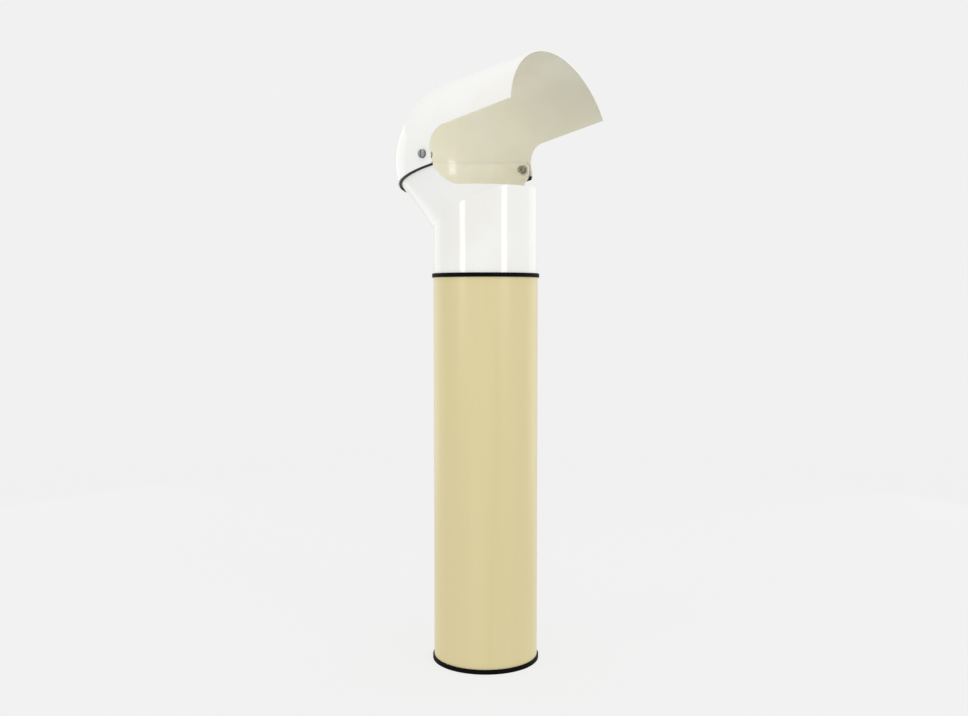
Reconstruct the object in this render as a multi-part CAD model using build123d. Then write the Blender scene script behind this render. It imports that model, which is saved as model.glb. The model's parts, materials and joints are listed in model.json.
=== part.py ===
from build123d import *
import os
from math import cos, radians, sqrt, tan

# Hooded floor lamp. Millimetres, Z up, origin at the middle of the underside.
# The visor points to the front, which is -Y, and the hood tilts about an axis along X.

# Column and the plates at its ends
column_radius = 110.0
column_wall = 1.5
column_length = 804.0
base_plate_thickness = 6.0
top_plate_thickness = 4.0

# Rubber rings at the two ends of the column
foot_pad_thickness = 3.5
foot_pad_inner_radius = 95.0
felt_clearance = 0.5
top_pad_thickness = 4.5
top_pad_inner_radius = 96.0
ring_proud = 3.0
ring_edge_radius = 1.2

# Weight in the foot
ballast_radius = 92.0
ballast_height = 40.0
ballast_centre_hole = 30.0

# Tie rods that clamp the column between its plates
tie_rod_count = 3
tie_rod_circle = 70.0
tie_rod_diameter = 6.0
tie_rod_clearance = 0.3
tie_nut_width = 10.0
tie_nut_height = 5.0
tie_rod_tip = 1.0
thread_fit = 0.05
nut_corner_share = 0.08

# Cable inlet, low at the back of the column
grommet_height = 75.0
grommet_bore = 7.5
grommet_waist = 12.0
grommet_flange = 18.0
grommet_flange_thickness = 2.0

# Swivel between the column and the head
swivel_gap = 0.3
swivel_tube_diameter = 20.0
swivel_tube_bore = 13.0
swivel_tube_flange = 40.0
swivel_tube_flange_thickness = 3.0
swivel_tube_tip = 3.0
swivel_fit = 0.3
bearing_washer_diameter = 44.0
swivel_plate_radius = 98.0
swivel_plate_thickness = 4.0
friction_washer_diameter = 36.0
friction_washer_thickness = 2.0
swivel_nut_width = 30.0
swivel_nut_height = 8.0
stop_circle = 52.0
stop_pin_diameter = 5.0
stop_tab_width = 6.0
stop_clearance = 1.6

# Screws that hold the swivel plate in the collar
plate_screw_count = 3
plate_screw_circle = 88.0
plate_screw_diameter = 4.0
plate_screw_head = 8.0
plate_screw_head_height = 2.6
plate_screw_clearance = 0.25

# Collar, moulded in one piece with the scoop above it
shell_wall = 3.0
collar_floor_thickness = 3.0
collar_floor_inner_radius = 78.0
sill_height = 175.7
crease_height = 132.7
crease_angle = 24.2
sill_corner_radius = 38.0

# Tilting axis of the hood, above the collar's lower edge and behind the column's axis
pivot_height = 233.7
pivot_setback = 22.0

# Scoop: a ball-shaped band about the tilting axis, carried by a slanting funnel
scoop_radius = 168.0
scoop_shoulder_drop = 22.0
scoop_shoulder_angle = 11.5
scoop_front_lead = 13.0
scoop_rim_rise = 17.0
funnel_waist_pinch = 9.0

# Hood: a round-backed cover over the scoop that runs out into a half-round visor
hood_gap = 3.5
hood_wall = 3.0
hood_rest_angle = 11.5
visor_axis_dip = 2.8
visor_length = 222.0
visor_edge_rise = 44.0
hood_rim_drop = 23.0
leg_front = 17.0
leg_corner_radius = 42.0
leg_toe_radius = 3.0

# Black felt strip inside the hood's lower rim, which hides the gap and slides on the scoop
rim_strip_clearance = 0.4
rim_strip_width = 8.0
rim_strip_show = 3.5
rim_strip_setback = 2.0

# Thumbscrews and washers on the tilting axis
screw_diameter = 6.0
screw_clearance = 0.3
knob_diameter = 17.0
knob_height = 5.0
knob_edge = 1.2
knob_groove_count = 24
knob_groove_diameter = 1.4
knob_slot_width = 2.0
knob_slot_depth = 1.8
knob_gap = 0.2
outer_washer_diameter = 18.0
outer_washer_thickness = 1.0
pivot_disc_diameter = 24.0
inner_washer_diameter = 24.0
inner_washer_thickness = 1.0
pivot_nut_width = 15.0
pivot_nut_height = 11.0
screw_tip = 1.5

# Lampholder and its bracket
bracket_width = 24.0
bracket_thickness = 2.0
bracket_height = 28.0
bracket_half_span = 30.0
bracket_foot_length = 16.0
bracket_screw_diameter = 4.0
bracket_screw_head = 8.0
bracket_screw_head_height = 2.6
bracket_screw_reach = 3.0
nipple_diameter = 10.0
nipple_bore = 7.0
nipple_nut_width = 14.0
nipple_nut_height = 4.0
nipple_rise = 10.0
nipple_tip = 2.0
holder_radius = 20.0
holder_wall = 2.0
holder_cap_height = 20.0
holder_skirt_height = 30.0
holder_neck_radius = 11.0
holder_seat = 13.0
insert_height = 9.0
insert_clearance = 0.2
contact_diameter = 8.0
contact_height = 1.0

# Bulb
bulb_radius = 30.0
bulb_height = 104.0
bulb_glass_wall = 0.9
bulb_neck_radius = 12.0
bulb_cap_radius = 13.2
bulb_cap_height = 24.0
bulb_tip_height = 3.6
bulb_tip_radius = 10.56
bulb_cap_overlap = 8.0
bulb_throat_angle = 40.0
bulb_throat_radius = 20.0

# Heights that follow from the stack
column_bottom = foot_pad_thickness + base_plate_thickness
column_top = column_bottom + column_length
ballast_top = column_bottom + ballast_height
top_plate_top = column_top + top_plate_thickness
top_ring_top = top_plate_top + top_pad_thickness
collar_bottom = top_ring_top + swivel_gap
swivel_plate_bottom = collar_bottom + collar_floor_thickness
swivel_plate_top = swivel_plate_bottom + swivel_plate_thickness
swivel_nut_bottom = swivel_plate_top + friction_washer_thickness
swivel_nut_top = swivel_nut_bottom + swivel_nut_height
bracket_top = swivel_plate_top + bracket_height
insert_bottom = bracket_top + holder_seat
bulb_bottom = insert_bottom + insert_height + contact_height
pivot = Vector(0, pivot_setback, collar_bottom + pivot_height)
ring_radius = column_radius + ring_proud
hood_inner_radius = scoop_radius + hood_gap
hood_radius = hood_inner_radius + hood_wall
far_out = 3 * hood_radius
base_align = (Align.CENTER, Align.CENTER, Align.MIN)


def disc(radius, bottom, top):
    return Pos(0, 0, bottom) * Cylinder(radius, top - bottom, align=base_align)


def ring(outer_radius, inner_radius, bottom, top):
    return disc(outer_radius, bottom, top) - disc(inner_radius, bottom, top)


def hex_nut(width, bore_diameter, bottom, height):
    blank = extrude(RegularPolygon(width / 2, 6, major_radius=False), height)
    rounding = disc(width / sqrt(3), 0, height)
    rounding = chamfer(rounding.edges().group_by(Axis.Z)[-1], width * nut_corner_share)
    return Pos(0, 0, bottom) * ((blank & rounding) - disc(bore_diameter / 2, 0, height))


def around(shape, count, radius, start_angle=90):
    places = PolarLocations(radius, count, start_angle=start_angle)
    return Compound([place * shape for place in places])


def both_sides(shape):
    return Compound([shape, mirror(shape, about=Plane.YZ)])


def side_prism(points, corner_radii):
    # Outline in the plane of symmetry, given as (forward, up) points, drawn out along X
    outline = make_face(Polyline([(-forward, up) for forward, up in points], close=True))
    for (forward, up), radius in corner_radii:
        corner = outline.vertices().sort_by_distance((-forward, up, 0))[0]
        outline = fillet(corner, radius)
    return extrude(Plane.YZ * outline, far_out, both=True)


def turned_profile(points):
    face = make_face(Polyline(points, close=True))
    return revolve(Plane.XZ * face, Axis.Z)


def foot_ring():
    points = [(foot_pad_inner_radius, 0), (ring_radius, 0), (ring_radius, column_bottom),
              (column_radius, column_bottom), (column_radius, foot_pad_thickness),
              (foot_pad_inner_radius, foot_pad_thickness)]
    face = make_face(Polyline(points, close=True))
    outer = face.vertices().group_by(Axis.X)[-1]
    return revolve(Plane.XZ * fillet(outer, ring_edge_radius), Axis.Z)


def floor_felt():
    return disc(foot_pad_inner_radius - felt_clearance, 0, foot_pad_thickness)


def top_ring():
    points = [(top_pad_inner_radius, top_plate_top), (column_radius, top_plate_top),
              (column_radius, column_top), (ring_radius, column_top),
              (ring_radius, top_ring_top), (top_pad_inner_radius, top_ring_top)]
    face = make_face(Polyline(points, close=True))
    outer = face.vertices().group_by(Axis.X)[-1]
    return revolve(Plane.XZ * fillet(outer, ring_edge_radius), Axis.Z)


def base_plate():
    rod_holes = around(disc(tie_rod_diameter / 2 + thread_fit, 0, column_bottom),
                       tie_rod_count, tie_rod_circle)
    return disc(column_radius, foot_pad_thickness, column_bottom) - rod_holes


def ballast_weight():
    rod_holes = around(disc(tie_rod_diameter / 2 + tie_rod_clearance, column_bottom, ballast_top),
                       tie_rod_count, tie_rod_circle)
    return ring(ballast_radius, ballast_centre_hole / 2, column_bottom, ballast_top) - rod_holes


def tie_rods():
    rod = disc(tie_rod_diameter / 2, foot_pad_thickness,
               top_plate_top + tie_nut_height + tie_rod_tip)
    return around(rod, tie_rod_count, tie_rod_circle)


def tie_nuts(bottom):
    nut = hex_nut(tie_nut_width, tie_rod_diameter + 2 * thread_fit, bottom, tie_nut_height)
    return around(nut, tie_rod_count, tie_rod_circle)


def back_pin(diameter, inner_radius, outer_radius):
    # A round plug through the back of the column, with faces that follow the tube
    pin = Pos(0, 0, grommet_height) * Rot(X=-90) * Cylinder(
        diameter / 2, 2 * column_radius, align=base_align)
    return pin & ring(outer_radius, inner_radius, 0, 2 * grommet_height)


def column_tube():
    tube = ring(column_radius, column_radius - column_wall, column_bottom, column_top)
    return tube - back_pin(grommet_waist, column_radius - 2 * column_wall, 2 * column_radius)


def cable_grommet():
    inside = column_radius - column_wall
    inner_flange = back_pin(grommet_flange, inside - grommet_flange_thickness, inside)
    waist = back_pin(grommet_waist, inside, column_radius)
    outer_flange = back_pin(grommet_flange, column_radius,
                            column_radius + grommet_flange_thickness)
    bore = back_pin(grommet_bore, column_radius / 2, 2 * column_radius)
    return inner_flange + waist + outer_flange - bore


def top_plate():
    rod_hole = disc(tie_rod_diameter / 2 + tie_rod_clearance, column_top, top_plate_top)
    stop_hole = Pos(0, stop_circle, 0) * disc(stop_pin_diameter / 2, column_top, top_plate_top)
    plate = ring(column_radius, swivel_tube_diameter / 2, column_top, top_plate_top)
    return plate - around(rod_hole, tie_rod_count, tie_rod_circle) - stop_hole


def stop_pin():
    pin = disc(stop_pin_diameter / 2, column_top, swivel_plate_bottom - stop_clearance)
    return Pos(0, stop_circle, 0) * pin


def swivel_tube():
    flange = disc(swivel_tube_flange / 2, column_top - swivel_tube_flange_thickness, column_top)
    tube = disc(swivel_tube_diameter / 2, column_top, swivel_nut_top + swivel_tube_tip)
    bore = disc(swivel_tube_bore / 2, column_top - swivel_tube_flange_thickness,
                swivel_nut_top + swivel_tube_tip)
    return flange + tube - bore


def bearing_washer():
    return ring(bearing_washer_diameter / 2, swivel_tube_diameter / 2, top_plate_top,
                swivel_plate_bottom)


def swivel_friction_washer():
    return ring(friction_washer_diameter / 2, swivel_tube_diameter / 2, swivel_plate_top,
                swivel_nut_bottom)


def swivel_nut():
    return hex_nut(swivel_nut_width, swivel_tube_diameter + 2 * thread_fit, swivel_nut_bottom,
                   swivel_nut_height)


def swivel_plate():
    plate = ring(swivel_plate_radius, swivel_tube_diameter / 2 + swivel_fit,
                 swivel_plate_bottom, swivel_plate_top)
    tab_bottom = top_plate_top + stop_clearance
    tab = Pos(0, -stop_circle, tab_bottom) * Box(
        stop_tab_width, stop_tab_width, swivel_plate_bottom - tab_bottom, align=base_align)
    screw_hole = disc(plate_screw_diameter / 2 + plate_screw_clearance, swivel_plate_bottom,
                      swivel_plate_top)
    foot_hole = disc(bracket_screw_diameter / 2 + thread_fit, swivel_plate_bottom,
                     swivel_plate_top)
    foot_place = bracket_half_span + bracket_foot_length / 2
    holes = around(screw_hole, plate_screw_count, plate_screw_circle)
    return plate + tab - holes - both_sides(Pos(foot_place, 0, 0) * foot_hole)


def swivel_plate_screws():
    shank = disc(plate_screw_diameter / 2, collar_bottom, swivel_plate_top)
    head = disc(plate_screw_head / 2, swivel_plate_top,
                swivel_plate_top + plate_screw_head_height)
    top_edge = head.edges().group_by(Axis.Z)[-1]
    return around(shank + fillet(top_edge, plate_screw_head_height / 2), plate_screw_count,
                  plate_screw_circle)


def tilted_plane(origin, angle):
    # A plane across the lamp that rises towards the front by the angle given
    slope = radians(angle)
    return Plane(origin=origin, x_dir=(1, 0, 0), z_dir=(0, tan(slope), 1))


def section(low_point, high_point, half_width):
    # A level-sided oval across the lamp, from its lowest back point to its highest front point
    along = high_point - low_point
    plane = Plane(origin=low_point + along / 2, x_dir=(1, 0, 0),
                  z_dir=Vector(1, 0, 0).cross(along))
    return (plane * Ellipse(half_width, along.length / 2)).face()


def head_form(inset):
    # The closed form of collar, funnel and ball, all its faces set in by the same amount
    collar_radius = column_radius - inset
    ball_radius = scoop_radius - inset
    crease_rise = collar_radius * tan(radians(crease_angle))
    crease_middle = Vector(0, 0, collar_bottom + crease_height)
    crease_back = crease_middle + Vector(0, collar_radius, -crease_rise)
    crease_front = crease_middle + Vector(0, -collar_radius, crease_rise)
    shoulder = tilted_plane(pivot, scoop_shoulder_angle).offset(-scoop_shoulder_drop)
    shoulder_radius = sqrt(ball_radius ** 2 - scoop_shoulder_drop ** 2)
    shoulder_back = shoulder.from_local_coords(Vector(0, shoulder_radius, 0))
    shoulder_front = shoulder.from_local_coords(Vector(0, -shoulder_radius, 0))
    waist_half_width = (collar_radius + shoulder_radius) / 2 - funnel_waist_pinch
    funnel = loft([
        section(crease_back, crease_front, collar_radius),
        section((crease_back + shoulder_back) / 2, (crease_front + shoulder_front) / 2,
                waist_half_width),
        section(shoulder_back, shoulder_front, shoulder_radius)])
    collar = disc(collar_radius, collar_bottom, collar_bottom + far_out)
    collar = split(collar, tilted_plane(crease_middle, crease_angle), keep=Keep.BOTTOM)
    ball = split(Pos(pivot) * Sphere(ball_radius), shoulder, keep=Keep.TOP)
    return collar + funnel + ball


def head_shell():
    sill = collar_bottom + sill_height
    rim = pivot.Z + scoop_rim_rise
    front = scoop_front_lead - pivot_setback
    outline = side_prism(
        [(-far_out, 0), (far_out, 0), (far_out, sill), (front, sill), (front, rim),
         (-far_out, rim)],
        [((front, sill), sill_corner_radius), ((front, rim), scoop_front_lead)])
    shell = head_form(0) - head_form(shell_wall)
    floor = ring(column_radius - shell_wall, collar_floor_inner_radius, collar_bottom,
                 swivel_plate_bottom)
    screw_hole = disc(plate_screw_diameter / 2 + thread_fit, collar_bottom, swivel_plate_bottom)
    opening = disc(column_radius - shell_wall, collar_bottom, swivel_plate_bottom)
    shell = (shell & outline) - opening + floor
    return shell - around(screw_hole, plate_screw_count, plate_screw_circle) - pivot_bore()


def pivot_bore():
    bore_radius = screw_diameter / 2 + screw_clearance
    return Pos(pivot) * Rot(Y=90) * Cylinder(bore_radius, 2 * far_out)


def capsule(radius):
    # A cylinder with a round back about the tilting axis, its open end to the front
    reach = visor_length + 2 * visor_edge_rise
    back = ThreePointArc((0, -radius), (radius * sqrt(0.5), -radius * sqrt(0.5)), (radius, 0))
    side = Polyline((radius, 0), (radius, reach), (0, reach), (0, -radius))
    solid = revolve(Plane.XZ * make_face([back, side]), Axis.Z)
    return Rot(X=90 + visor_axis_dip) * solid


def hood_shell():
    outline = side_prism(
        [(visor_length, visor_edge_rise), (visor_length, far_out), (-far_out, far_out),
         (-far_out, -hood_rim_drop), (leg_front, -hood_rim_drop),
         (leg_front, visor_edge_rise)],
        [((leg_front, visor_edge_rise), leg_corner_radius),
         ((leg_front, -hood_rim_drop), leg_toe_radius)])
    shell = (capsule(hood_radius) - capsule(hood_inner_radius)) & outline
    shell = Pos(pivot) * Rot(X=-hood_rest_angle) * shell
    return shell - pivot_bore()


def rim_strip():
    # Follows the round back of the hood from leg to leg
    inner_face = Sphere(scoop_radius + rim_strip_clearance)
    strip = Sphere(hood_inner_radius) - inner_face
    low = -hood_rim_drop - rim_strip_show
    front = leg_front - rim_strip_setback
    outline = side_prism([(-far_out, low), (front, low), (front, low + rim_strip_width),
                          (-far_out, low + rim_strip_width)], [])
    return Pos(pivot) * Rot(X=-hood_rest_angle) * (strip & outline)


def on_pivot(outer_diameter, bore_diameter, start, end):
    # A ring on the tilting axis, on the +X side, between two distances from the middle
    body = ring(outer_diameter / 2, bore_diameter / 2, start, end)
    return Pos(pivot) * Rot(Y=90) * body


# How far out on the tilting axis a flat face of this diameter meets a ball of this radius
def flat_reach(ball_radius, diameter):
    return sqrt(ball_radius ** 2 - (diameter / 2) ** 2)


screw_bore = screw_diameter + 2 * screw_clearance
outer_washer_end = hood_radius + outer_washer_thickness
knob_start = outer_washer_end + knob_gap
inner_washer_end = flat_reach(scoop_radius - shell_wall, inner_washer_diameter)
inner_washer_start = inner_washer_end - inner_washer_thickness
pivot_nut_start = inner_washer_start - pivot_nut_height


def pivot_discs():
    end = flat_reach(hood_inner_radius, pivot_disc_diameter)
    return both_sides(on_pivot(pivot_disc_diameter, screw_bore, scoop_radius, end))


def outer_washers():
    return both_sides(on_pivot(outer_washer_diameter, screw_bore, hood_radius,
                               outer_washer_end))


def inner_washers():
    return both_sides(on_pivot(inner_washer_diameter, screw_bore, inner_washer_start,
                               inner_washer_end))


def pivot_nuts():
    nut = hex_nut(pivot_nut_width, screw_bore, -inner_washer_start, pivot_nut_height)
    return both_sides(Pos(pivot) * Rot(Y=-90) * nut)


def thumbscrew():
    shank = disc(screw_diameter / 2, pivot_nut_start - screw_tip, knob_start)
    knob = disc(knob_diameter / 2, knob_start, knob_start + knob_height)
    knob = chamfer(knob.edges().filter_by(GeomType.CIRCLE), knob_edge)
    groove = disc(knob_groove_diameter / 2, knob_start, knob_start + knob_height)
    slot_floor = knob_start + knob_height - knob_slot_depth
    slot = Pos(0, 0, slot_floor) * Box(knob_diameter, knob_slot_width, knob_slot_depth,
                                       align=base_align)
    knob = knob - around(groove, knob_groove_count, knob_diameter / 2) - slot
    return Pos(pivot) * Rot(Y=90) * (shank + knob)


def lampholder_bracket():
    half = bracket_half_span
    thick = bracket_thickness
    foot_end = half + bracket_foot_length
    bottom = swivel_plate_top
    points = [(foot_end, bottom), (foot_end, bottom + thick), (half, bottom + thick),
              (half, bracket_top), (-half, bracket_top), (-half, bottom + thick),
              (-foot_end, bottom + thick), (-foot_end, bottom), (thick - half, bottom),
              (thick - half, bracket_top - thick), (half - thick, bracket_top - thick),
              (half - thick, bottom)]
    strap = extrude(Plane.XZ * make_face(Polyline(points, close=True)), bracket_width / 2,
                    both=True)
    foot_hole = disc(bracket_screw_diameter / 2 + plate_screw_clearance, bottom, bottom + thick)
    foot_place = bracket_half_span + bracket_foot_length / 2
    nipple_hole = disc(nipple_diameter / 2 + thread_fit, bottom, bracket_top)
    return strap - both_sides(Pos(foot_place, 0, 0) * foot_hole) - nipple_hole


def bracket_screws():
    seat = swivel_plate_top + bracket_thickness
    shank = disc(bracket_screw_diameter / 2, swivel_plate_top - bracket_screw_reach, seat)
    head = disc(bracket_screw_head / 2, seat, seat + bracket_screw_head_height)
    top_edge = head.edges().group_by(Axis.Z)[-1]
    screw = shank + fillet(top_edge, bracket_screw_head_height / 2)
    return both_sides(Pos(bracket_half_span + bracket_foot_length / 2, 0, 0) * screw)


nipple_nut_bottom = bracket_top - bracket_thickness - nipple_nut_height


def holder_nipple():
    return ring(nipple_diameter / 2, nipple_bore / 2, nipple_nut_bottom - nipple_tip,
                bracket_top + nipple_rise)


def nipple_nut():
    return hex_nut(nipple_nut_width, nipple_diameter + 2 * thread_fit, nipple_nut_bottom,
                   nipple_nut_height)


def lampholder_cap():
    outer = [(0, 0), (holder_neck_radius, 0), (holder_radius, holder_cap_height / 2),
             (holder_radius, holder_cap_height), (0, holder_cap_height)]
    inner_radius = holder_radius - holder_wall
    inner = [(0, holder_wall), (holder_neck_radius - holder_wall / 2, holder_wall),
             (inner_radius, holder_cap_height / 2 + holder_wall / 2),
             (inner_radius, holder_cap_height), (0, holder_cap_height)]
    cup = turned_profile(outer) - turned_profile(inner)
    cup = cup - disc(nipple_diameter / 2 + thread_fit, 0, holder_wall)
    return Pos(0, 0, bracket_top) * cup


def lampholder_skirt():
    bottom = bracket_top + holder_cap_height
    return ring(holder_radius, holder_radius - holder_wall, bottom,
                bottom + holder_skirt_height)


def lampholder_insert():
    return disc(holder_radius - holder_wall - insert_clearance, insert_bottom,
                insert_bottom + insert_height)


def centre_contact():
    seat = insert_bottom + insert_height
    return disc(contact_diameter / 2, seat, seat + contact_height)


def bulb_cap():
    cap_top = bulb_bottom + bulb_cap_height
    tip = Pos(0, 0, bulb_bottom) * Cone(contact_diameter / 2, bulb_tip_radius,
                                        bulb_tip_height, align=base_align)
    sleeve = disc(bulb_cap_radius, bulb_bottom + bulb_tip_height, cap_top)
    bore = disc(bulb_neck_radius + insert_clearance, cap_top - bulb_cap_overlap, cap_top)
    return tip + sleeve - bore


def bulb_outline(inset):
    radius = bulb_radius - inset
    neck = bulb_neck_radius - inset
    middle = bulb_bottom + bulb_height - bulb_radius
    foot = bulb_bottom + bulb_cap_height - bulb_cap_overlap
    lean = radians(bulb_throat_angle)
    join = (radius * cos(lean), middle - radius * sqrt(1 - cos(lean) ** 2))
    throat = (neck, join[1] - (join[0] - neck) / tan(lean))
    crown = ThreePointArc((0, middle + radius), (radius, middle), join)
    sides = Polyline(join, throat, (neck, foot), (0, foot), (0, middle + radius))
    face = make_face([crown, sides])
    corner = face.vertices().sort_by_distance((throat[0], throat[1], 0))[0]
    face = fillet(corner, bulb_throat_radius)
    return revolve(Plane.XZ * face, Axis.Z)


def bulb_glass():
    return bulb_outline(0) - bulb_outline(bulb_glass_wall)


nodes = {
    "foot_ring": foot_ring(),
    "floor_felt": floor_felt(),
    "base_plate": base_plate(),
    "ballast_weight": ballast_weight(),
    "ballast_nuts": tie_nuts(ballast_top),
    "tie_rods": tie_rods(),
    "tie_rod_nuts": tie_nuts(top_plate_top),
    "column_tube": column_tube(),
    "cable_grommet": cable_grommet(),
    "top_plate": top_plate(),
    "top_ring": top_ring(),
    "stop_pin": stop_pin(),
    "swivel_tube": swivel_tube(),
    "bearing_washer": bearing_washer(),
    "swivel_friction_washer": swivel_friction_washer(),
    "swivel_nut": swivel_nut(),
    "head_shell": head_shell(),
    "swivel_plate": swivel_plate(),
    "swivel_plate_screws": swivel_plate_screws(),
    "lampholder_bracket": lampholder_bracket(),
    "bracket_screws": bracket_screws(),
    "holder_nipple": holder_nipple(),
    "nipple_nut": nipple_nut(),
    "lampholder_cap": lampholder_cap(),
    "lampholder_skirt": lampholder_skirt(),
    "lampholder_insert": lampholder_insert(),
    "centre_contact": centre_contact(),
    "bulb_cap": bulb_cap(),
    "bulb_glass": bulb_glass(),
    "inner_washers": inner_washers(),
    "pivot_nuts": pivot_nuts(),
    "hood_shell": hood_shell(),
    "rim_strip": rim_strip(),
    "pivot_discs": pivot_discs(),
    "outer_washers": outer_washers(),
    "right_thumbscrew": thumbscrew(),
    "left_thumbscrew": mirror(thumbscrew(), about=Plane.YZ),
}

os.makedirs("parts", exist_ok=True)
for node_name, shape in nodes.items():
    export_step(shape, f"parts/{node_name}.step")
print(len(nodes), "nodes written")
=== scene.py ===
import json
import math

import bpy
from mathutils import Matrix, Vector


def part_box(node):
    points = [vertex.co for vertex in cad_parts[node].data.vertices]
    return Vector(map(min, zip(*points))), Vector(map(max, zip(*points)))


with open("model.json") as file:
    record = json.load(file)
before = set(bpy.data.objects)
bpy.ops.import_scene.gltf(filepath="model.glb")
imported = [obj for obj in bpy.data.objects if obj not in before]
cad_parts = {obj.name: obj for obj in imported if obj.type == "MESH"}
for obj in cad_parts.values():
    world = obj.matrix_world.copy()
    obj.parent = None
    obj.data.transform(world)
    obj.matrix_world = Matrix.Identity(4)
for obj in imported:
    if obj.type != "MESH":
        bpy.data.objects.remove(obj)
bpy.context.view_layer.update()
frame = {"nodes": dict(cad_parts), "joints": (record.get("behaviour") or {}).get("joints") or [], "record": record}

mm = 0.001
patchEnds = (0.35, 0.65)    # noise values between which one colour passes into the other
grainEnds = (0.3, 0.7)      # the same for finer noise
nodes = frame["nodes"]
tiltJoint = next(j for j in frame["joints"] if j["name"] == "hood_tilt")
pivot = Vector(tiltJoint["pos_m"])

photoView = {
    "width": 968,             # pixels of the photograph's frame
    "focalPixels": 1050,
    "sensorWidth": 36,
    "place": (-1.7483, -1.3713, 0.773),
    "turn": -51.8,            # degrees from looking along +Y
    "pitch": -3.33,
}


def linearColour(hexColour):
    # sRGB hex to the linear values that shaders take
    channels = [int(hexColour[i:i + 2], 16) / 255 for i in (1, 3, 5)]
    return (*[c / 12.92 if c <= 0.04045 else ((c + 0.055) / 1.055) ** 2.4 for c in channels], 1)


def addNode(owner, kind, inputs=None, **settings):
    # a node of a material or the world, with its inputs either set or linked
    tree = owner.node_tree
    node = tree.nodes.new(kind)
    for name, value in settings.items():
        setattr(node, name, value)
    for socket, value in (inputs or {}).items():
        if isinstance(value, bpy.types.NodeSocket):
            tree.links.new(value, node.inputs[socket])
        else:
            node.inputs[socket].default_value = value
    return node


shaderSockets = {
    "roughness": "Roughness",
    "metallic": "Metallic",
    "ior": "IOR",
    "coat": "Coat Weight",
    "coatRoughness": "Coat Roughness",
    "sheen": "Sheen Weight",
    "specular": "Specular IOR Level",
    "transmission": "Transmission Weight",
    "subsurface": "Subsurface Weight",
}


def newMaterial(name, values):
    material = bpy.data.materials.new(name)
    material.use_nodes = True
    shader = material.node_tree.nodes["Principled BSDF"]
    for key, socket in shaderSockets.items():
        if key in values:
            shader.inputs[socket].default_value = values[key]
    return material, shader


def restPoint(material):
    # the point in the lamp's own metres, so a pattern stays put when a piece moves
    return addNode(material, "ShaderNodeTexCoord").outputs["Object"]


def speckle(material, point, size, stretch=(1, 1, 1), detail=3):
    # cloudy noise with features of the given size in millimetres
    scaled = addNode(material, "ShaderNodeVectorMath", {0: point, 1: stretch},
                     operation="MULTIPLY")
    noise = addNode(material, "ShaderNodeTexNoise",
                    {"Vector": scaled.outputs[0], "Scale": 1 / (size * mm), "Detail": detail})
    return noise.outputs["Fac"]


colourInputs = (6, 7)       # a Mix node has one set of sockets for each kind of value
colourOutput = 2


def blendColours(material, factor, first, second):
    # each colour is a hex string or a socket
    mix = addNode(material, "ShaderNodeMix", {0: factor}, data_type="RGBA")
    for place, colour in zip(colourInputs, (first, second)):
        if isinstance(colour, bpy.types.NodeSocket):
            material.node_tree.links.new(colour, mix.inputs[place])
        else:
            mix.inputs[place].default_value = linearColour(colour)
    return mix.outputs[colourOutput]


def mapRange(material, value, low, high, newLow, newHigh):
    return addNode(material, "ShaderNodeMapRange", {
        "Value": value, "From Min": low, "From Max": high, "To Min": newLow,
        "To Max": newHigh}).outputs[0]


def addBump(material, shader, height, depth):
    # depth is how far the surface goes in and out, in millimetres
    bump = addNode(material, "ShaderNodeBump", {"Height": height, "Distance": depth * mm})
    material.node_tree.links.new(bump.outputs[0], shader.inputs["Normal"])


def varyRoughness(material, shader, factor, low, high):
    rough = mapRange(material, factor, *grainEnds, low, high)
    material.node_tree.links.new(rough, shader.inputs["Roughness"])


# ---- the two white mouldings, cream on their inside
acrylic = {
    "white": "#F5F5F3",
    "whiteAged": "#F2F1EC",     # the same white, slightly yellowed in patches
    "cream": "#F7F4E6",
    "creamAged": "#F1EDDA",
    "creamLipShade": "#DAD8C6",      # painted shade: the cream is greyer towards the visor's lip, where the visor's front falls into shade
    "shadeStart": 0,             # mm ahead of the tilting axis; the painted shade grades between this and the next
    "shadeEnd": 230,
    "ior": 1.49,
    "roughness": 0.09,
    "roughnessInside": 0.12,
    "patchSize": 120,           # mm, slow colour drift
    "waveSize": 45,             # mm, the faint waviness of a moulded sheet
    "waveDepth": 0.12,
    "wall": 3.0,                # mm
    "skin": 0.6,                # mm of the wall that still counts as its inner face
    "visorRise": 8.7,           # degrees that the visor's axis rises towards the front
    "headMiddle": (0, 0.03, 0.98),   # a point that all the head's outer faces turn away from
}


def hoodInside(material, point):
    # distance from the visor's axis, or from the pivot behind it, against the inner radius
    rise = math.radians(acrylic["visorRise"])
    axis = Vector((0, -math.cos(rise), math.sin(rise)))
    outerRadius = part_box("hood_shell")[1].x
    innerFace = outerRadius - (acrylic["wall"] - acrylic["skin"]) * mm
    offset = addNode(material, "ShaderNodeVectorMath", {0: point, 1: pivot},
                     operation="SUBTRACT").outputs[0]
    along = addNode(material, "ShaderNodeVectorMath", {0: offset, 1: axis},
                    operation="DOT_PRODUCT").outputs["Value"]
    ahead = addNode(material, "ShaderNodeMath", {0: along, 1: 0.0}, operation="MAXIMUM").outputs[0]
    foot = addNode(material, "ShaderNodeVectorMath", {0: axis, "Scale": ahead},
                   operation="SCALE").outputs[0]
    away = addNode(material, "ShaderNodeVectorMath", {0: offset, 1: foot},
                   operation="SUBTRACT").outputs[0]
    radius = addNode(material, "ShaderNodeVectorMath", {0: away}, operation="LENGTH")
    inside = addNode(material, "ShaderNodeMath", {0: radius.outputs["Value"], 1: innerFace},
                     operation="LESS_THAN").outputs[0]
    # the second value is how far a point lies ahead of the pivot, which grades the painted shade inside the visor
    return inside, mapRange(material, along, acrylic["shadeStart"] * mm,
                            acrylic["shadeEnd"] * mm, 0, 1)


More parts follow.
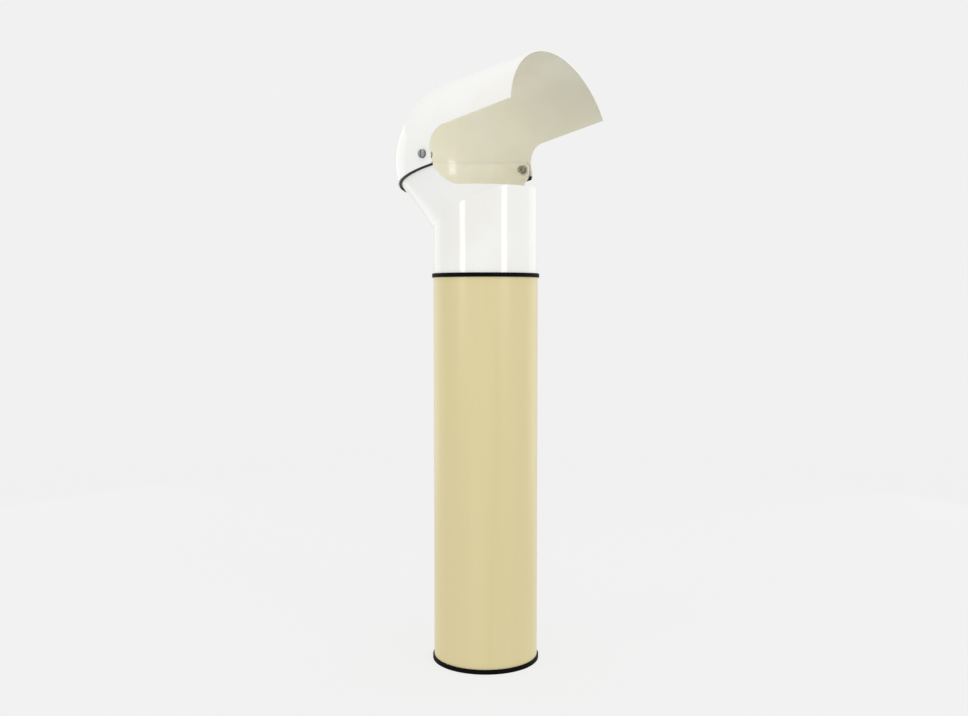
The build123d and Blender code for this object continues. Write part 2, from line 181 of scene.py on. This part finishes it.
def headInside(material, point):
    # faces that look towards the middle of the head are its inside
    offset = addNode(material, "ShaderNodeVectorMath", {0: point, 1: acrylic["headMiddle"]},
                     operation="SUBTRACT").outputs[0]
    normal = addNode(material, "ShaderNodeTexCoord").outputs["Normal"]
    facing = addNode(material, "ShaderNodeVectorMath", {0: offset, 1: normal},
                     operation="DOT_PRODUCT").outputs["Value"]
    inside = addNode(material, "ShaderNodeMath", {0: facing, 1: 0.0}, operation="LESS_THAN")
    return inside.outputs[0], 0.0


def makeAcrylic(name, findInside):
    # gloss moulded acrylic, white with a cream coat inside and painted shade towards the visor's lip: sharp, wet
    # highlights
    material, shader = newMaterial(name, acrylic)
    point = restPoint(material)
    inside, fade = findInside(material, point)
    patches = mapRange(material, speckle(material, point, acrylic["patchSize"]), *patchEnds,
                       0, 1)
    outer = blendColours(material, patches, acrylic["white"], acrylic["whiteAged"])
    inner = blendColours(material, patches, acrylic["cream"], acrylic["creamAged"])
    # painted shade: the cream inside greys towards the visor's lip
    inner = blendColours(material, fade, inner, acrylic["creamLipShade"])
    colour = blendColours(material, inside, outer, inner)
    material.node_tree.links.new(colour, shader.inputs["Base Color"])
    rough = mapRange(material, inside, 0, 1, acrylic["roughness"], acrylic["roughnessInside"])
    material.node_tree.links.new(rough, shader.inputs["Roughness"])
    addBump(material, shader, speckle(material, point, acrylic["waveSize"], detail=0),
            acrylic["waveDepth"])
    return material


# ---- the column
lacquer = {
    "cream": "#DED19F",
    "creamDeep": "#DBCD99",
    "ior": 1.5,
    "roughnessLow": 0.27,
    "roughnessHigh": 0.34,
    "streakSize": 30,           # mm across the tube, the drift of the spray passes
    "streakStretch": 0.03,      # the passes run along the tube
    "peelSize": 1.6,            # mm, orange peel of a sprayed coat
    "peelDepth": 0.015,
}


def makeLacquer():
    # stove lacquer sprayed on rolled steel: satin, with orange peel and faint upright streaks
    material, shader = newMaterial("stoveLacquer", lacquer)
    point = restPoint(material)
    streaks = speckle(material, point, lacquer["streakSize"], (1, 1, lacquer["streakStretch"]))
    colour = blendColours(material, mapRange(material, streaks, *grainEnds, 0, 1),
                          lacquer["cream"], lacquer["creamDeep"])
    material.node_tree.links.new(colour, shader.inputs["Base Color"])
    varyRoughness(material, shader, streaks, lacquer["roughnessLow"], lacquer["roughnessHigh"])
    addBump(material, shader, speckle(material, point, lacquer["peelSize"]),
            lacquer["peelDepth"])
    return material


# ---- smaller materials: two colours, a roughness that varies and a fine relief
finishes = {
    # moulded rubber: near black, dull, with a fine matt skin
    "black_rubber": {"name": "mouldedRubber", "colours": ("#050505", "#0A0A0A"), "ior": 1.52,
                     "roughness": 0.6, "specular": 0.05, "grainSize": 2.0,
                     "grainDepth": 0.02},
    # pressed wool felt: fibres scatter light at its edge
    "floor_felt": {"name": "pressedFelt", "colours": ("#080808", "#101010"), "ior": 1.5,
                   "roughness": 0.95, "sheen": 0.1, "grainSize": 0.9, "grainDepth": 0.25},
    # zinc plate on turned steel: cool grey, a little cloudy
    "plated_steel": {"name": "zincPlatedSteel", "colours": ("#A9A79D", "#95938A"),
                     "metallic": 1.0, "roughness": 0.32, "grainSize": 3.0, "grainDepth": 0.01},
    # sand-cast iron: dark, rough and pitted
    "cast_iron": {"name": "castIron", "colours": ("#3A3A3B", "#2C2C2D"), "metallic": 1.0,
                  "roughness": 0.62, "grainSize": 1.8, "grainDepth": 0.25},
    # natural nylon, turned: milky and soft-edged
    "nylon": {"name": "naturalNylon", "colours": ("#E6E1D2", "#DDD7C6"), "ior": 1.53,
              "roughness": 0.42, "subsurface": 0.1, "grainSize": 1.2, "grainDepth": 0.01},
    # phenolic moulding: dark brown-black with a low polish
    "lampholder": {"name": "phenolicMoulding", "colours": ("#1A1614", "#241D19"), "ior": 1.6,
                   "roughness": 0.3, "grainSize": 2.5, "grainDepth": 0.01},
    # glazed steatite: hard white ceramic under a clear glaze
    "ceramic": {"name": "glazedSteatite", "colours": ("#EFECE4", "#E6E2D8"), "ior": 1.55,
                "roughness": 0.15, "coat": 0.5, "coatRoughness": 0.05, "grainSize": 2.0,
                "grainDepth": 0.01},
    # turned brass, lightly tarnished
    "brass": {"name": "turnedBrass", "colours": ("#C9A75A", "#B08F49"), "metallic": 1.0,
              "roughness": 0.25, "grainSize": 1.5, "grainDepth": 0.01},
    # bright chrome plate: mirror-like, with faint wiping marks
    "chrome": {"name": "brightChrome", "colours": ("#A9ABAA", "#97999A"), "metallic": 1.0,
               "roughness": 0.12, "grainSize": 1.0, "grainDepth": 0.004},
    # frosted bulb glass: lets light through but shows nothing behind it
    "bulb_glass": {"name": "frostedGlass", "colours": ("#F4F3EE", "#ECEBE5"), "ior": 1.5,
                   "roughness": 0.4, "transmission": 0.5, "grainSize": 0.8,
                   "grainDepth": 0.01},
}


cloudScale = 12             # the slow drift of colour against the grain's size
roughnessLow = 0.9          # how far a finish's roughness drifts, as a share of it
roughnessHigh = 1.15


def makeFinish(slot):
    values = finishes[slot]
    material, shader = newMaterial(values["name"], values)
    point = restPoint(material)
    grain = speckle(material, point, values["grainSize"])
    cloud = mapRange(material, speckle(material, point, values["grainSize"] * cloudScale),
                     *patchEnds, 0, 1)
    colour = blendColours(material, cloud, *values["colours"])
    material.node_tree.links.new(colour, shader.inputs["Base Color"])
    varyRoughness(material, shader, grain, values["roughness"] * roughnessLow,
                  min(values["roughness"] * roughnessHigh, 1))
    addBump(material, shader, grain, values["grainDepth"])
    return material


def dressNodes():
    made = {slot: makeFinish(slot) for slot in finishes}
    made["column_lacquer"] = makeLacquer()
    for part in frame["record"]["subparts"]:
        piece = nodes[part["node"]]
        material = made.get(part["material_slot"])
        if part["node"] == "hood_shell":
            material = makeAcrylic("hoodAcrylic", hoodInside)
        elif part["node"] == "head_shell":
            material = makeAcrylic("headAcrylic", headInside)
        piece.data.materials.clear()
        piece.data.materials.append(material)
    print("materials on", len(nodes), "nodes")


# ---- the studio
studio = {
    "floorRadius": 7.0,         # metres, as every length in this table
    "floorSides": 128,
    "floorClear": 0.4,          # from the lamp to where the floor starts to fade out
    "floorGone": 4.5,
    "floorColour": "#F9F9F9",
    "floorRoughness": 0.9,
    "floorSpecular": 0.1,
    "floorGlow": 0.88,          # share of the floor that shines like the backdrop
    "backdrop": "#F1F1F1",
    "ambient": 0.88,
    "stripDistance": 2.4,
    "strips": (                 # degrees from the camera's side, width, height, level, watts
        (-50, 0.5, 0.9, 1.12, 6.0),
        (40, 0.5, 0.9, 1.12, 6.0),
        (-132, 1.4, 2.2, 0.9, 5.0),
        (124, 1.4, 2.2, 0.9, 6.0),
    ),
    "topPlace": (-0.4, -0.6, 3.2),
    "topAim": (0, 0, 0.6),
    "topSize": 2.2,
    "topWatts": 14,
    "hollowPlace": (0, 0.08, 1.075),   # light that the white walls pass on inside the head
    "hollowRadius": 0.05,
    "hollowWatts": 0.12,
}


def addCamera():
    data = bpy.data.cameras.new("photoCamera")
    data.sensor_width = photoView["sensorWidth"]
    data.lens = photoView["focalPixels"] * photoView["sensorWidth"] / photoView["width"]
    camera = bpy.data.objects.new("photoCamera", data)
    camera.location = photoView["place"]
    camera.rotation_euler = (math.radians(90 + photoView["pitch"]), 0,
                             math.radians(photoView["turn"]))
    bpy.context.scene.collection.objects.link(camera)
    bpy.context.scene.camera = camera


def addSoftbox(name, place, target, size, watts):
    data = bpy.data.lights.new(name, "AREA")
    data.shape = "RECTANGLE"
    data.size, data.size_y = size
    data.energy = watts
    light = bpy.data.objects.new(name, data)
    light.location = place
    light.rotation_euler = (Vector(target) - Vector(place)).to_track_quat("-Z", "Y").to_euler()
    light.visible_camera = False
    bpy.context.scene.collection.objects.link(light)


def addLights():
    toCamera = math.atan2(photoView["place"][1], photoView["place"][0])
    for number, (angle, width, height, level, watts) in enumerate(studio["strips"]):
        heading = toCamera + math.radians(angle)
        place = (studio["stripDistance"] * math.cos(heading),
                 studio["stripDistance"] * math.sin(heading), level)
        addSoftbox(f"stripLight{number}", place, (0, 0, level), (width, height), watts)
    addSoftbox("topLight", studio["topPlace"], studio["topAim"],
               (studio["topSize"], studio["topSize"]), studio["topWatts"])
    data = bpy.data.lights.new("hollowLight", "POINT")
    data.shadow_soft_size = studio["hollowRadius"]
    data.energy = studio["hollowWatts"]
    light = bpy.data.objects.new("hollowLight", data)
    light.location = studio["hollowPlace"]
    light.visible_camera = False
    light.visible_glossy = False
    bpy.context.scene.collection.objects.link(light)


def addWorld():
    world = bpy.data.worlds.new("paleRoom")
    world.use_nodes = True
    bpy.context.scene.world = world
    backdrop = linearColour(studio["backdrop"])
    seen = addNode(world, "ShaderNodeBackground", {"Color": backdrop})
    ambient = world.node_tree.nodes["Background"]
    ambient.inputs["Color"].default_value = backdrop
    ambient.inputs["Strength"].default_value = studio["ambient"]
    rays = addNode(world, "ShaderNodeLightPath").outputs
    showsRoom = rays["Is Camera Ray"]
    for name in ("Is Transmission Ray", "Is Glossy Ray"):
        showsRoom = addNode(world, "ShaderNodeMath", {0: showsRoom, 1: rays[name]},
                            operation="MAXIMUM").outputs[0]
    mix = addNode(world, "ShaderNodeMixShader", {0: showsRoom, 1: ambient.outputs[0],
                                                 2: seen.outputs[0]})
    world.node_tree.links.new(mix.outputs[0], world.node_tree.nodes["World Output"].inputs[0])


def addFloor():
    bpy.ops.mesh.primitive_circle_add(vertices=studio["floorSides"],
                                      radius=studio["floorRadius"], fill_type="NGON")
    floor = bpy.context.object
    floor.name = "studioFloor"
    material = bpy.data.materials.new("paleFloor")
    material.use_nodes = True
    tree = material.node_tree
    shader = tree.nodes["Principled BSDF"]
    shader.inputs["Base Color"].default_value = linearColour(studio["floorColour"])
    shader.inputs["Roughness"].default_value = studio["floorRoughness"]
    shader.inputs["Specular IOR Level"].default_value = studio["floorSpecular"]
    glow = addNode(material, "ShaderNodeEmission", {"Color": linearColour(studio["backdrop"])})
    lit = addNode(material, "ShaderNodeMixShader", {0: studio["floorGlow"],
                                                    1: shader.outputs[0], 2: glow.outputs[0]})
    point = restPoint(material)
    distance = addNode(material, "ShaderNodeVectorMath", {0: point}, operation="LENGTH")
    fade = mapRange(material, distance.outputs["Value"], studio["floorClear"],
                    studio["floorGone"], 0, 1)
    clear = addNode(material, "ShaderNodeBsdfTransparent")
    mix = addNode(material, "ShaderNodeMixShader", {0: fade, 1: lit.outputs[0],
                                                    2: clear.outputs[0]})
    tree.links.new(mix.outputs[0], tree.nodes["Material Output"].inputs["Surface"])
    floor.data.materials.append(material)


addCamera()
print("camera set")
dressNodes()
addWorld()
addLights()
addFloor()
print("studio set")

bpy.context.scene.view_settings.view_transform = "Standard"
